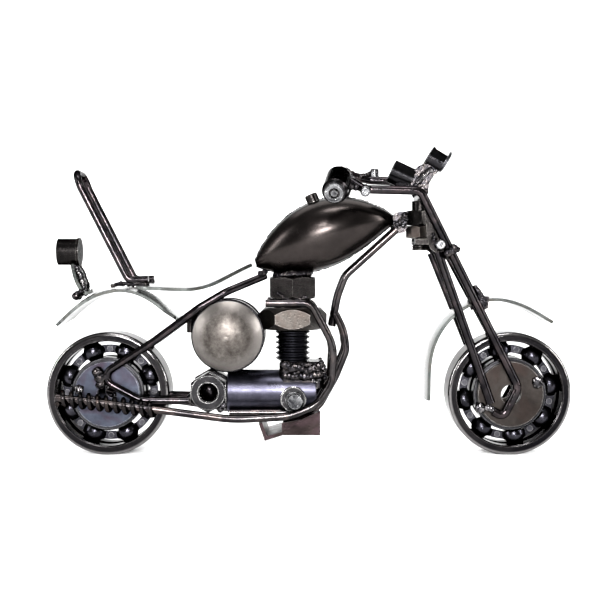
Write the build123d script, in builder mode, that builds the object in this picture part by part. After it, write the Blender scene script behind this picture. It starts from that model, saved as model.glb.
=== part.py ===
from build123d import *
import os
from math import sin, cos, tan, radians, hypot, atan2, degrees

os.makedirs("parts", exist_ok=True)

# ---------------------------------------------------------------------------
# Scrap-metal chopper motorcycle.  Millimetres, +X forward, +Z up, wheels on Z = 0,
# the rider's right-hand side is -Y.  Origin: middle of the footprint, on the ground.
# ---------------------------------------------------------------------------

# --- wheels: deep groove ball bearings, 35 x 11 -----------------------------
WHEEL_R = 17.5            # outside radius
WHEEL_W = 11.0            # width
WHEEL_X = 57.05           # hub distance fore and aft of the origin
BORE_R = 7.5              # inner ring bore
PITCH_R = 12.5            # ball circle
BALL_R = 2.97             # ball
RACE_R = 3.03             # groove in both rings
INNER_SHOULDER_R = 10.4
OUTER_SHOULDER_R = 14.85
BALLS = 8
CAGE_IN_R, CAGE_OUT_R = 11.35, 13.7
CAGE_T = 0.42             # pressed cage sheet
FRONT_BALL_ANGLE = 10.0
REAR_BALL_ANGLE = 23.0
DISC_R, DISC_T, DISC_HOLE = 9.4, 1.2, 5.3   # hub washers

# --- rods -------------------------------------------------------------------
FORK_D = 2.5
FORK_Y = 8.0
RAIL_D = 2.2
RAIL_Y = 7.8
CRADLE_Y = 5.0
DOWN_Y = 2.75
PIPE_D = 2.2
SISSY_D = 2.1
SISSY_Y = 6.25

# --- steering head ----------------------------------------------------------
HEAD_X = 32.0
HEAD_BOLT_D = 4.84        # runs in the 5.0 bore of the head nut
HEAD_NUT_AF = 8.0
HEAD_NUT_Z = 65.4
HEAD_NUT_H = 4.2
LOCK_NUT_Z = 61.6
LOCK_NUT_H = 3.6
LOCK_NUT_SWEEP_R = HEAD_NUT_AF / 2 / cos(radians(30)) + 0.2

# --- engine -----------------------------------------------------------------
ENG_X = -4.6
CASE_X0, CASE_X1 = -23.3, 2.2
CASE_R, CASE_Z = 6.35, 17.6
DOME_X, DOME_Z, DOME_R = -22.9, 34.1, 9.8
DRUM_R = 10.4

RIGHT = Plane.XZ          # local x = +X, local y = +Z, normal = -Y


# --- drawing helpers: each draws into the part block that is open ------------
def bent_rod(points, dia, radii):
    """Round rod along straight runs with bent corners."""
    with BuildPart() as body:
        with BuildLine() as path:
            if len(points) == 2:
                Line(*points)
            else:
                FilletPolyline(*points, radius=radii)
        with BuildSketch(Plane(origin=path.line @ 0, z_dir=path.line % 0)):
            Circle(dia / 2)
        sweep()
    add(body.part)


def axial_plane(pl):
    """Plane holding the axis of pl: local x is radial, local y is along the axis."""
    return Plane(origin=pl.origin, x_dir=pl.x_dir, z_dir=-pl.y_dir)


def turned(pl, profile, mode=Mode.ADD):
    """Solid of revolution about the normal of pl, profile as (radius, height)."""
    with BuildPart() as body:
        with BuildSketch(axial_plane(pl)):
            with BuildLine():
                Polyline(*profile, close=True)
            make_face()
        revolve(axis=Axis(pl.origin, pl.z_dir))
    add(body.part, mode=mode)


def hexagon(pl, across, height, bore=0.0, rotation=0.0, both_ends=True, chamfer_angle=30):
    """Hexagon nut or head with chamfered corners."""
    with BuildPart() as body:
        with BuildSketch(pl):
            RegularPolygon(across / 2, 6, major_radius=False, rotation=rotation)
        extrude(amount=height)
        rc = across / 2 / cos(radians(30)) + 0.01
        ri = across / 2 * 0.955
        dz = (rc - ri) * tan(radians(chamfer_angle))
        low = [(0, 0), (ri, 0), (rc, dz)] if both_ends else [(0, 0), (rc, 0)]
        turned(pl, low + [(rc, height - dz), (ri, height), (0, height)], Mode.INTERSECT)
        if bore:
            c = 0.35
            turned(pl, [(0, 0), (bore / 2 + c, 0), (bore / 2, c), (bore / 2, height - c),
                        (bore / 2 + c, height), (0, height)], Mode.SUBTRACT)
    add(body.part)


def thread_profile(r, z0, z1, pitch, depth):
    """Outline of a threaded shank, as ring grooves from z0 up to z1."""
    pts = [(0, z0), (r - depth, z0)]
    z = z0
    while z + pitch <= z1 + 1e-6:
        pts += [(r - depth, z + 0.10 * pitch), (r, z + 0.42 * pitch),
                (r, z + 0.58 * pitch), (r - depth, z + 0.90 * pitch)]
        z += pitch
    pts += [(r - depth, z1), (0, z1)]
    return pts


def offset_points(points, dist):
    """Points moved sideways by dist, to the left of the direction of travel."""
    out = []
    n = len(points)
    for i, (x, z) in enumerate(points):
        a = points[max(i - 1, 0)]
        b = points[min(i + 1, n - 1)]
        dx, dz = b[0] - a[0], b[1] - a[1]
        k = hypot(dx, dz)
        out.append((x - dz / k * dist, z + dx / k * dist))
    return out


def sheet_strip(points, thick, half_width):
    """Bent strip of sheet metal, seen edge-on in the XZ plane."""
    with BuildPart() as body:
        with BuildSketch(RIGHT):
            with BuildLine():
                a = Spline(*offset_points(points, thick / 2))
                b = Spline(*offset_points(points, -thick / 2))
                Line(a @ 0, b @ 0)
                Line(a @ 1, b @ 1)
            make_face()
        extrude(amount=half_width, both=True)
    add(body.part)


def crowned_strip(points, thick, crown, half_width, outline):
    """Sheet strip arched across its width, swept along a side view curve, cut to a plan outline."""
    w, top, low = half_width, thick / 2, -thick / 2
    with BuildPart() as body:
        with BuildLine(RIGHT) as path:
            Spline(*points)
        start = path.line @ 0
        ahead = path.line % 0
        across = Plane(origin=start, x_dir=(0, 1, 0), z_dir=ahead)
        up = 1 if across.y_dir.Z > 0 or (abs(across.y_dir.Z) < 0.2 and across.y_dir.X < 0) else -1
        with BuildSketch(across):
            with BuildLine():
                ThreePointArc((-w, up * (top - crown)), (0, up * top), (w, up * (top - crown)))
                ThreePointArc((-w, up * (low - crown)), (0, up * low), (w, up * (low - crown)))
                Line((-w, up * (top - crown)), (-w, up * (low - crown)))
                Line((w, up * (top - crown)), (w, up * (low - crown)))
            make_face()
        sweep()
        with BuildSketch(Plane.XY):
            with BuildLine():
                Polyline(*outline, close=True)
            make_face()
        extrude(amount=120, mode=Mode.INTERSECT)
    add(body.part)


def bead(x, y, z, r):
    """Weld bead."""
    with Locations((x, y, z)):
        Sphere(r)


def save(block, label):
    block.part.label = label
    export_step(block.part, "parts/" + label + ".step")


# ===========================================================================
# WHEELS
# ===========================================================================
def wheel_plane(x):
    return Plane(origin=(x, 0, WHEEL_R), x_dir=(1, 0, 0), z_dir=(0, -1, 0))


def radial_sketch_plane(x):
    return Plane(origin=(x, 0, WHEEL_R), x_dir=(1, 0, 0), z_dir=(0, 0, 1))


def wheel_axis(x):
    return Axis((x, 0, WHEEL_R), (0, 1, 0))


def draw_outer_ring(x):
    with BuildPart() as body:
        mid = (OUTER_SHOULDER_R + WHEEL_R) / 2
        with BuildSketch(radial_sketch_plane(x)) as sk:
            with Locations((mid, 0)):
                Rectangle(WHEEL_R - OUTER_SHOULDER_R, WHEEL_W)
            outer = sk.vertices().group_by(Axis.X)[-1]
            fillet(outer, 1.1)
            inner = sk.vertices().group_by(Axis.X)[0]
            chamfer(inner, 0.3)
            with Locations((PITCH_R, 0)):
                Circle(RACE_R, mode=Mode.SUBTRACT)
        revolve(axis=wheel_axis(x))
    add(body.part)


def draw_inner_ring(x):
    with BuildPart() as body:
        mid = (BORE_R + INNER_SHOULDER_R) / 2
        with BuildSketch(radial_sketch_plane(x)) as sk:
            with Locations((mid, 0)):
                Rectangle(INNER_SHOULDER_R - BORE_R, WHEEL_W)
            chamfer(sk.vertices(), 0.3)
            with Locations((PITCH_R, 0)):
                Circle(RACE_R, mode=Mode.SUBTRACT)
        revolve(axis=wheel_axis(x))
    add(body.part)


def draw_balls(x, start):
    with Locations(wheel_plane(x)):
        with PolarLocations(PITCH_R, BALLS, start_angle=start):
            Sphere(BALL_R)


def draw_cage_half(x, start, side):
    """Half of the pressed ribbon cage: side +1 is the right half (-Y)."""
    with BuildPart() as body:
        pl = wheel_plane(x)
        with Locations(pl):
            with PolarLocations(PITCH_R, BALLS, start_angle=start):
                Sphere(BALL_R + 0.08 + CAGE_T)
        with BuildSketch(pl):
            Circle(CAGE_OUT_R)
            Circle(CAGE_IN_R, mode=Mode.SUBTRACT)
        extrude(amount=side * 4.0, mode=Mode.INTERSECT)
        with BuildSketch(pl):
            Circle(CAGE_OUT_R)
            Circle(CAGE_IN_R, mode=Mode.SUBTRACT)
        extrude(amount=side * CAGE_T)
        with Locations(pl):
            with PolarLocations(PITCH_R, BALLS, start_angle=start):
                Sphere(BALL_R + 0.08, mode=Mode.SUBTRACT)
            with PolarLocations(PITCH_R, BALLS, start_angle=start + 180 / BALLS):
                Cylinder(0.5, 4, mode=Mode.SUBTRACT)
    add(body.part)


def draw_rivets(x, start):
    with Locations(wheel_plane(x)):
        with PolarLocations(PITCH_R, BALLS, start_angle=start + 180 / BALLS):
            Cylinder(0.5, 2 * CAGE_T)
            with Locations((0, 0, CAGE_T + 0.15), (0, 0, -CAGE_T - 0.15)):
                Cylinder(0.85, 0.3)


def draw_hub_discs(x):
    for side in (1, -1):
        pl = Plane(origin=(x, -side * WHEEL_W / 2, WHEEL_R), x_dir=(1, 0, 0), z_dir=(0, -side, 0))
        turned(pl, [(DISC_HOLE / 2, 0), (DISC_R, 0), (DISC_R, DISC_T - 0.25), (DISC_R - 0.25, DISC_T),
                    (DISC_HOLE / 2 + 0.2, DISC_T), (DISC_HOLE / 2, DISC_T - 0.2)])


with BuildPart() as front_outer_ring:
    draw_outer_ring(WHEEL_X)
with BuildPart() as front_inner_ring:
    draw_inner_ring(WHEEL_X)
with BuildPart() as front_balls:
    draw_balls(WHEEL_X, FRONT_BALL_ANGLE)
with BuildPart() as front_cage_right:
    draw_cage_half(WHEEL_X, FRONT_BALL_ANGLE, 1)
with BuildPart() as front_cage_left:
    draw_cage_half(WHEEL_X, FRONT_BALL_ANGLE, -1)
with BuildPart() as front_cage_rivets:
    draw_rivets(WHEEL_X, FRONT_BALL_ANGLE)
with BuildPart() as front_hub_discs:
    draw_hub_discs(WHEEL_X)

with BuildPart() as rear_outer_ring:
    draw_outer_ring(-WHEEL_X)
with BuildPart() as rear_inner_ring:
    draw_inner_ring(-WHEEL_X)
with BuildPart() as rear_balls:
    draw_balls(-WHEEL_X, REAR_BALL_ANGLE)
with BuildPart() as rear_cage_right:
    draw_cage_half(-WHEEL_X, REAR_BALL_ANGLE, 1)
with BuildPart() as rear_cage_left:
    draw_cage_half(-WHEEL_X, REAR_BALL_ANGLE, -1)
with BuildPart() as rear_cage_rivets:
    draw_rivets(-WHEEL_X, REAR_BALL_ANGLE)
with BuildPart() as rear_hub_discs:
    draw_hub_discs(-WHEEL_X)

for block, label in ((front_outer_ring, "front_outer_ring"), (front_inner_ring, "front_inner_ring"),
                     (front_balls, "front_balls"), (front_cage_right, "front_cage_right"),
                     (front_cage_left, "front_cage_left"), (front_cage_rivets, "front_cage_rivets"),
                     (front_hub_discs, "front_hub_discs"),
                     (rear_outer_ring, "rear_outer_ring"), (rear_inner_ring, "rear_inner_ring"),
                     (rear_balls, "rear_balls"), (rear_cage_right, "rear_cage_right"),
                     (rear_cage_left, "rear_cage_left"), (rear_cage_rivets, "rear_cage_rivets"),
                     (rear_hub_discs, "rear_hub_discs")):
    save(block, label)

# ===========================================================================
# TANK: two domed leaf-shaped halves, welded along the centre plane
# ===========================================================================
TANK_REAR = (-15.7, 54.05)
TANK_FRONT = (25.6, 66.8)
TANK_HALF_WIDTH = 8.8
TANK_WALL = 0.9
TANK_LEN = hypot(TANK_FRONT[0] - TANK_REAR[0], TANK_FRONT[1] - TANK_REAR[1])
TANK_DIR = ((TANK_FRONT[0] - TANK_REAR[0]) / TANK_LEN, (TANK_FRONT[1] - TANK_REAR[1]) / TANK_LEN)


def tank_section(t):
    """Rise above and drop below the tip-to-tip line, and half width, at t of the length."""
    rise = 38.75 * t ** 0.85 * (1 - t) ** 0.80
    drop = 29.40 * t ** 0.90 * (1 - t) ** 1.20
    half = TANK_HALF_WIDTH / 0.3187 * t ** 0.85 * (1 - t) ** 0.80
    return rise, drop, half


def tank_body(wall, t0, t1, mode=Mode.ADD):
    """Leaf-shaped pod lofted through ellipses square to the tip-to-tip line."""
    with BuildPart() as body:
        n = 13
        for i in range(n):
            t = t0 + (t1 - t0) * (0.5 - 0.5 * cos(radians(180 * i / (n - 1))))
            rise, drop, half = tank_section(t)
            mid = (rise - drop) / 2
            x = TANK_REAR[0] + TANK_DIR[0] * t * TANK_LEN - TANK_DIR[1] * mid
            z = TANK_REAR[1] + TANK_DIR[1] * t * TANK_LEN + TANK_DIR[0] * mid
            pl = Plane(origin=(x, 0, z), x_dir=(0, 1, 0), z_dir=(TANK_DIR[0], 0, TANK_DIR[1]))
            with BuildSketch(pl):
                Ellipse(half - wall, (rise + drop) / 2 - wall)
        loft()
    add(body.part, mode=mode)


def draw_tank():
    """Hollow pod."""
    with BuildPart() as body:
        tank_body(0.0, 0.012, 0.992)
        tank_body(TANK_WALL, 0.10, 0.93, Mode.SUBTRACT)
    add(body.part)


with BuildPart() as tank_right:
    draw_tank()
    split(bisect_by=Plane.XZ, keep=Keep.TOP)
with BuildPart() as tank_left:
    mirror(tank_right.part, about=Plane.XZ)
save(tank_right, "tank_right")
save(tank_left, "tank_left")

with BuildPart() as filler_cap:
    cap_plane = Plane(origin=(1.5, 0, 71.9), x_dir=(0, 1, 0), z_dir=(-sin(radians(24)), 0, cos(radians(24))))
    turned(cap_plane, [(0, 0), (1.85, 0), (1.85, 2.3), (1.55, 2.6), (0, 2.6)])
    tank_body(0.0, 0.012, 0.992, Mode.SUBTRACT)
save(filler_cap, "filler_cap")

# ===========================================================================
# FRAME
# ===========================================================================
with BuildPart() as frame_rail_right:
    bent_rod([(-12.4, -3.6, 51.0), (-23.5, -6.9, 46.4), (-30.6, -RAIL_Y, 42.2), (-43.8, -RAIL_Y, 32.5),
              (-59.3, -RAIL_Y, 22.4), (-47.3, -RAIL_Y, 15.9), (-33.42, -6.5, 15.7)],
             RAIL_D, [9, 9, 20, 2.6, 8])
with BuildPart() as frame_rail_left:
    mirror(frame_rail_right.part, about=Plane.XZ)

with BuildPart() as crankcase:
    with BuildSketch(Plane(origin=(CASE_X0, 0, CASE_Z), x_dir=(0, 1, 0), z_dir=(1, 0, 0))):
        Circle(CASE_R)
    extrude(amount=CASE_X1 - CASE_X0)
    chamfer(crankcase.edges().filter_by(GeomType.CIRCLE), 0.35)

with BuildPart() as cradle_right:
    bent_rod([(-22.6, -CRADLE_Y, 12.1), (1.8, -CRADLE_Y, 12.1), (7.6, -CRADLE_Y, 22.5),
              (10.6, -CRADLE_Y, 30.0), (9.9, -CRADLE_Y, 35.4), (7.6, -CRADLE_Y, 40.2)],
             RAIL_D, [7, 18, 5, 14])
    add(crankcase.part, mode=Mode.SUBTRACT)
with BuildPart() as cradle_rods:
    add(cradle_right.part)
    mirror(cradle_right.part, about=Plane.XZ)

with BuildPart() as down_tube_right:
    bent_rod([(25.0, -DOWN_Y, 64.2), (10.4, -DOWN_Y, 51.0), (8.2, -DOWN_Y, 45.2), (6.6, -DOWN_Y, 36.6)],
             RAIL_D, [6, 20])
with BuildPart() as down_tubes:
    add(down_tube_right.part)
    mirror(down_tube_right.part, about=Plane.XZ)

with BuildPart() as head_nut:
    hexagon(Plane(origin=(HEAD_X, 0, HEAD_NUT_Z), x_dir=(1, 0, 0), z_dir=(0, 0, 1)),
            HEAD_NUT_AF, HEAD_NUT_H, bore=5.0, rotation=30)

with BuildPart() as head_lug:
    with BuildSketch(RIGHT):
        with BuildLine():
            Polyline((24.2, 64.9), (23.9, 67.6), (24.8, 69.0), (28.0, 69.3), (28.0, 65.6), (27.4, 63.3),
                     (25.6, 62.9), close=True)
        make_face()
    extrude(amount=3.4, both=True)
    fillet(head_lug.edges().filter_by(Axis.Y), 0.45)
    add(head_nut.part, mode=Mode.SUBTRACT)
    add(down_tubes.part, mode=Mode.SUBTRACT)
    tank_body(0.0, 0.012, 0.992, Mode.SUBTRACT)
    # swept room for the lock nut's corners as the fork turns
    turned(Plane(origin=(HEAD_X, 0, 0), x_dir=(1, 0, 0), z_dir=(0, 0, 1)),
           [(0, 60.5), (LOCK_NUT_SWEEP_R, 60.5), (LOCK_NUT_SWEEP_R, 65.35), (0, 65.35)], Mode.SUBTRACT)

for block, label in ((frame_rail_right, "frame_rail_right"), (frame_rail_left, "frame_rail_left"),
                     (cradle_rods, "cradle_rods"), (down_tubes, "down_tubes"),
                     (crankcase, "crankcase"), (head_nut, "head_nut"), (head_lug, "head_lug")):
    save(block, label)

# ===========================================================================
# ENGINE
# ===========================================================================
# big hexagon bolt, flat to the side, head uppermost
with BuildPart() as cylinder_bolt:
    bolt_plane = Plane(origin=(ENG_X, 0, 35.6), x_dir=(1, 0, 0), z_dir=(0, 0, 1))
    hexagon(bolt_plane, 17.0, 6.3, rotation=0, chamfer_angle=48)
    turned(Plane(origin=(ENG_X, 0, 0), x_dir=(1, 0, 0), z_dir=(0, 0, 1)),
           thread_profile(5.0, 26.6, 35.6, 1.5, 0.85))

# block under the thread, seated on the crankcase rod
with BuildPart() as cylinder_base:
    with BuildSketch(Plane.XY.offset(19.2)):
        with Locations((-2.05, 0)):
            Rectangle(12.7, 11.0)
    extrude(amount=26.6 - 19.2)
    chamfer(cylinder_base.edges().filter_by(Axis.Z), 1.2)
    chamfer(cylinder_base.faces().sort_by(Axis.Z)[-1].edges(), 0.5)
    add(crankcase.part, mode=Mode.SUBTRACT)

with BuildPart() as rocker_nut:
    hexagon(Plane(origin=(ENG_X, 0, 44.4), x_dir=(1, 0, 0), z_dir=(0, 0, 1)), 13.0, 6.3, bore=6.8, rotation=30)

# collared stud: stands on the bolt head, carries the nut and reaches the underside of the tank
with BuildPart() as rocker_stud:
    turned(Plane(origin=(ENG_X, 0, 41.9), x_dir=(1, 0, 0), z_dir=(0, 0, 1)),
           [(0, 0), (5.2, 0), (5.2, 2.5), (3.4, 2.5), (3.4, 8.45), (3.0, 8.8), (3.0, 10.9), (0, 10.9)])
    tank_body(0.0, 0.012, 0.992, Mode.SUBTRACT)
    add(rocker_nut.part, mode=Mode.SUBTRACT)

# spool carried between the two domed covers
with BuildPart() as cover_drum:
    drum_plane = Plane(origin=(DOME_X, -6.6, DOME_Z), x_dir=(1, 0, 0), z_dir=(0, 1, 0))
    turned(drum_plane, [(0, 0), (DRUM_R - 0.3, 0), (DRUM_R, 0.3), (DRUM_R, 2.3), (DRUM_R - 0.3, 2.6), (6.6, 2.6),
                        (6.6, 10.6), (DRUM_R - 0.3, 10.6), (DRUM_R, 10.9), (DRUM_R, 12.9), (DRUM_R - 0.3, 13.2),
                        (0, 13.2)])

with BuildPart() as dome_right:
    dome_plane = Plane(origin=(DOME_X, -6.6, DOME_Z), x_dir=(1, 0, 0), z_dir=(0, -1, 0))
    with BuildSketch(axial_plane(dome_plane)) as dome_section:
        with Locations((0, -9.62)):
            Circle(14.87)
        with Locations((DOME_R / 2, 3.0)):
            Rectangle(DOME_R, 6.0, mode=Mode.INTERSECT)
        fillet(dome_section.vertices().group_by(Axis.X)[-1].sort_by(Axis.Y)[0], 0.9)
    revolve(axis=Axis(dome_plane.origin, dome_plane.z_dir))
with BuildPart() as dome_covers:
    add(dome_right.part)
    mirror(dome_right.part, about=Plane.XZ)

# side nuts that join the rear rails to the crankcase rod
with BuildPart() as side_nut_right:
    hexagon(Plane(origin=(-28.3, -4.0, 18.2), x_dir=(1, 0, 0), z_dir=(0, -1, 0)), 10.0, 5.0, bore=5.1, rotation=30)
with BuildPart() as side_nuts:
    add(side_nut_right.part)
    mirror(side_nut_right.part, about=Plane.XZ)

# washer and screw on each side of the crankcase rod
with BuildPart() as case_washer_right:
    turned(Plane(origin=(-4.4, -6.15, 16.1), x_dir=(1, 0, 0), z_dir=(0, -1, 0)),
           [(0, 0), (3.65, 0), (3.65, 0.85), (3.4, 1.05), (0, 1.05)])
    add(crankcase.part, mode=Mode.SUBTRACT)
with BuildPart() as case_screw_right:
    screw_plane = Plane(origin=(-4.4, -7.2, 16.1), x_dir=(1, 0, 0.0), z_dir=(0.12, -1, -0.03))
    turned(screw_plane, [(0, 0.0), (1.95, 0.0), (1.95, 0.4), (2.3, 0.6), (2.3, 1.2), (1.95, 1.4), (2.3, 1.6),
                         (2.3, 2.2), (1.95, 2.4), (2.3, 2.6), (2.3, 3.9), (2.0, 4.3), (0, 4.3)])
    add(case_washer_right.part, mode=Mode.SUBTRACT)
with BuildPart() as case_washers:
    add(case_washer_right.part)
    mirror(case_washer_right.part, about=Plane.XZ)
with BuildPart() as case_screws:
    add(case_screw_right.part)
    mirror(case_screw_right.part, about=Plane.XZ)

for block, label in ((cylinder_bolt, "cylinder_bolt"), (cylinder_base, "cylinder_base"),
                     (rocker_nut, "rocker_nut"), (rocker_stud, "rocker_stud"),
                     (cover_drum, "cover_drum"), (dome_covers, "dome_covers"), (side_nuts, "side_nuts"),
                     (case_washers, "case_washers"), (case_screws, "case_screws")):
    save(block, label)

# ===========================================================================
# EXHAUST: bent rod with a coil spring silencer on its straight tail
# ===========================================================================
TAIL_Y = 11.7
with BuildPart() as exhaust_right:
    bent_rod([(-12.2, -9.6, 43.4), (0.6, -9.6, 43.4), (6.9, -9.6, 31.5), (6.4, -9.6, 20.9), (2.2, -9.8, 14.9),
              (-5.2, -10.1, 11.7), (-21.0, -10.6, 10.9), (-42.4, -TAIL_Y, 13.85), (-70.4, -TAIL_Y, 17.25)],
             PIPE_D, [3.6, 12, 8, 9, 18, 45, 30])
with BuildPart() as exhaust_pipes:
    add(exhaust_right.part)
    mirror(exhaust_right.part, about=Plane.XZ)

SPRING_WIRE = 1.25
SPRING_MEAN_R = 1.8
SPRING_PITCH = 2.42
SPRING_TURNS = 11
with BuildPart() as silencer_spring_right:
    tail_dir = Vector(-70.4 + 42.4, 0, 17.25 - 13.85).normalized()
    start = Vector(-42.4, -TAIL_Y, 13.85) + tail_dir * 1.0
    with BuildLine() as coil:
        Helix(pitch=SPRING_PITCH, height=SPRING_PITCH * SPRING_TURNS, radius=SPRING_MEAN_R,
              center=start, direction=tail_dir)
    with BuildSketch(Plane(origin=coil.line @ 0, z_dir=coil.line % 0)):
        Circle(SPRING_WIRE / 2)
    sweep(is_frenet=True)
with BuildPart() as silencer_springs:
    add(silencer_spring_right.part)
    mirror(silencer_spring_right.part, about=Plane.XZ)

for block, label in ((exhaust_pipes, "exhaust_pipes"), (silencer_springs, "silencer_springs")):
    save(block, label)

# ===========================================================================
# FOOT PLATE under the engine: bent sheet with upright sides
# ===========================================================================
FOOT_Y = 9.2
FOOT_T = 1.0
with BuildPart() as foot_plate:
    # floor, with the rear edge kicked down and back up into a lip
    with BuildSketch(RIGHT):
        with BuildLine():
            Polyline((3.2, 6.3), (-7.4, 6.3), (-12.4, 4.7), (-14.1, 9.6), (-13.1, 9.9), (-11.8, 6.05),
                     (-7.6, 7.3), (3.2, 7.3), close=True)
        make_face()
    extrude(amount=FOOT_Y, both=True)
    # side walls, cut to the line of the pipes above them
    for side in (-1, 1):
        with BuildSketch(Plane(origin=(0, side * FOOT_Y, 0), x_dir=(1, 0, 0), z_dir=(0, -1, 0))):
            with BuildLine():
                Polyline((-7.6, 6.3), (3.2, 6.3), (3.2, 13.2), (1.2, 12.2), (-2.0, 10.7), (-7.6, 9.7), close=True)
            make_face()
        extrude(amount=side * FOOT_T)
    add(exhaust_pipes.part, mode=Mode.SUBTRACT)
save(foot_plate, "foot_plate")

# ===========================================================================
# SEAT, FENDERS, SISSY BAR, TAIL LIGHT
# ===========================================================================
with BuildPart() as rear_fender:
    crowned_strip([(-71.6, 37.2), (-67.3, 41.4), (-62.0, 45.2), (-56.6, 47.2), (-51.0, 47.4), (-45.6, 45.6),
                   (-40.8, 42.3), (-36.6, 38.9)], 0.9, 0.7, 8.0,
                  [(-80, -5.5), (-70.5, -5.8), (-69.0, -8.1), (-41, -8.1), (-37.5, -6.4), (-30, -6.2),
                   (-30, 6.2), (-37.5, 6.4), (-41, 8.1), (-69.0, 8.1), (-70.5, 5.8), (-80, 5.5)])

with BuildPart() as seat:
    crowned_strip([(-48.4, 48.5), (-42.1, 48.3), (-36.8, 48.1), (-31.6, 48.2), (-27.2, 49.3),
                   (-23.2, 51.1), (-19.4, 52.9), (-16.2, 54.3)], 1.0, 0.9, 9.8,
                  [(-50, -8.2), (-48.2, -8.6), (-46.5, -9.7), (-34, -9.8), (-28, -8.6), (-22, -6.8), (-15, -4.2),
                   (-15, 4.2), (-22, 6.8), (-28, 8.6), (-34, 9.8), (-46.5, 9.7), (-48.2, 8.6), (-50, 8.2)])
    add(rear_fender.part, mode=Mode.SUBTRACT)
    tank_body(0.0, 0.012, 0.992, Mode.SUBTRACT)

with BuildPart() as fender_screw:
    with BuildSketch(Plane.XY.offset(34.6)):
        with Locations((-34.0, 0)):
            Circle(1.1)
    extrude(amount=4.0)
    with BuildSketch(Plane.XY.offset(38.6)):
        with Locations((-34.0, 0)):
            Circle(2.1)
    extrude(amount=1.3)
    chamfer(fender_screw.faces().sort_by(Axis.Z)[-1].edges(), 0.35)

with BuildPart() as sissy_bar:
    bent_rod([(-45.2, -SISSY_Y, 49.95), (-50.9, -SISSY_Y, 49.75), (-64.2, -SISSY_Y, 76.0), (-65.6, -SISSY_Y, 80.0),
              (-65.6, SISSY_Y, 80.0), (-64.2, SISSY_Y, 76.0), (-50.9, SISSY_Y, 49.75), (-45.2, SISSY_Y, 49.95)],
             SISSY_D, [2.2, 6, 3.6, 3.6, 6, 2.2])

with BuildPart() as tail_light:
    lamp_plane = Plane(origin=(-71.85, 0, 57.8), x_dir=(0, 1, 0), z_dir=(1, 0, 0))
    turned(lamp_plane, [(0, 0.6), (3.2, 0.6), (3.2, 0), (3.8, 0), (3.8, 5.6), (4.05, 5.6), (4.05, 6.3), (0, 6.3)])

with BuildPart() as tail_bracket:
    sheet_strip([(-67.4, 54.3), (-66.7, 51.0), (-65.6, 48.2), (-64.0, 46.2), (-61.6, 46.9)], 1.0, 3.2)
    add(rear_fender.part, mode=Mode.SUBTRACT)
    add(tail_light.part, mode=Mode.SUBTRACT)

for block, label in ((rear_fender, "rear_fender"), (seat, "seat"), (fender_screw, "fender_screw"),
                     (sissy_bar, "sissy_bar"), (tail_bracket, "tail_bracket"), (tail_light, "tail_light")):
    save(block, label)

# ===========================================================================
# STEERING: fork, handlebar, crown, head bolt, lamp and gauge, front fender
# ===========================================================================
with BuildPart() as fork_front_right:
    # foot, long straight leg, bend, handlebar, and the turn-out to the grip
    bent_rod([(51.9, -FORK_Y, 12.9), (54.7, -FORK_Y, 11.4), (58.9, -FORK_Y, 19.6), (31.2, -FORK_Y, 74.8),
              (15.4, -FORK_Y, 75.2), (9.2, -11.4, 78.6)], FORK_D, [1.6, 3.4, 2.6, 2.4])
with BuildPart() as fork_front_left:
    # the left rod was bent by hand: its foot stands a little further forward and its bar a little higher
    bent_rod([(53.9, FORK_Y, 12.9), (56.7, FORK_Y, 11.4), (61.3, FORK_Y, 19.8), (29.6, FORK_Y, 78.4),
              (18.0, FORK_Y, 78.9), (12.4, 11.4, 80.6)], FORK_D, [1.6, 3.4, 2.6, 2.4])

with BuildPart() as fork_rear_legs:
    bent_rod([(51.2, -FORK_Y, 15.2), (36.15, -FORK_Y, 57.6)], FORK_D, 0)
    bent_rod([(53.3, FORK_Y, 15.2), (36.15, FORK_Y, 57.6)], FORK_D, 0)
    add(fork_front_right.part, mode=Mode.SUBTRACT)
    add(fork_front_left.part, mode=Mode.SUBTRACT)

with BuildPart() as crown_pin:
    pin_plane = Plane(origin=(36.75, -9.9, 59.75), x_dir=(1, 0, 0), z_dir=(0, 1, 0))
    turned(pin_plane, [(0, 0), (1.05, 0), (1.3, 0.25), (1.3, 19.55), (1.05, 19.8), (0, 19.8)])
    add(fork_front_right.part, mode=Mode.SUBTRACT)
    add(fork_front_left.part, mode=Mode.SUBTRACT)
    add(fork_rear_legs.part, mode=Mode.SUBTRACT)

with BuildPart() as crown_gussets:
    for side in (-1, 1):
        with BuildSketch(Plane(origin=(0, side * 5.75, 0), x_dir=(1, 0, 0), z_dir=(0, -1, 0))):
            with BuildLine():
                Polyline((32.2, 72.4), (41.2, 56.6), (38.8, 55.4), (34.2, 58.6), (33.2, 61.5), close=True)
            make_face()
        extrude(amount=-side * 1.0)
    add(crown_pin.part, mode=Mode.SUBTRACT)

with BuildPart() as steering_bolt:
    turned(Plane(origin=(HEAD_X, 0, 0), x_dir=(1, 0, 0), z_dir=(0, 0, 1)),
           [(0, 58.2)] + [(2.05, 58.2), (HEAD_BOLT_D / 2, 58.45), (HEAD_BOLT_D / 2, 58.7), (2.05, 58.95),
                          (HEAD_BOLT_D / 2, 59.2), (HEAD_BOLT_D / 2, 59.45), (2.05, 59.7),
                          (HEAD_BOLT_D / 2, 59.95), (HEAD_BOLT_D / 2, 60.2), (2.05, 60.45),
                          (HEAD_BOLT_D / 2, 60.7), (HEAD_BOLT_D / 2, 72.3), (0, 72.3)])

with BuildPart() as lock_nut:
    hexagon(Plane(origin=(HEAD_X, 0, LOCK_NUT_Z), x_dir=(1, 0, 0), z_dir=(0, 0, 1)),
            HEAD_NUT_AF, LOCK_NUT_H, bore=HEAD_BOLT_D, rotation=22)

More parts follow.
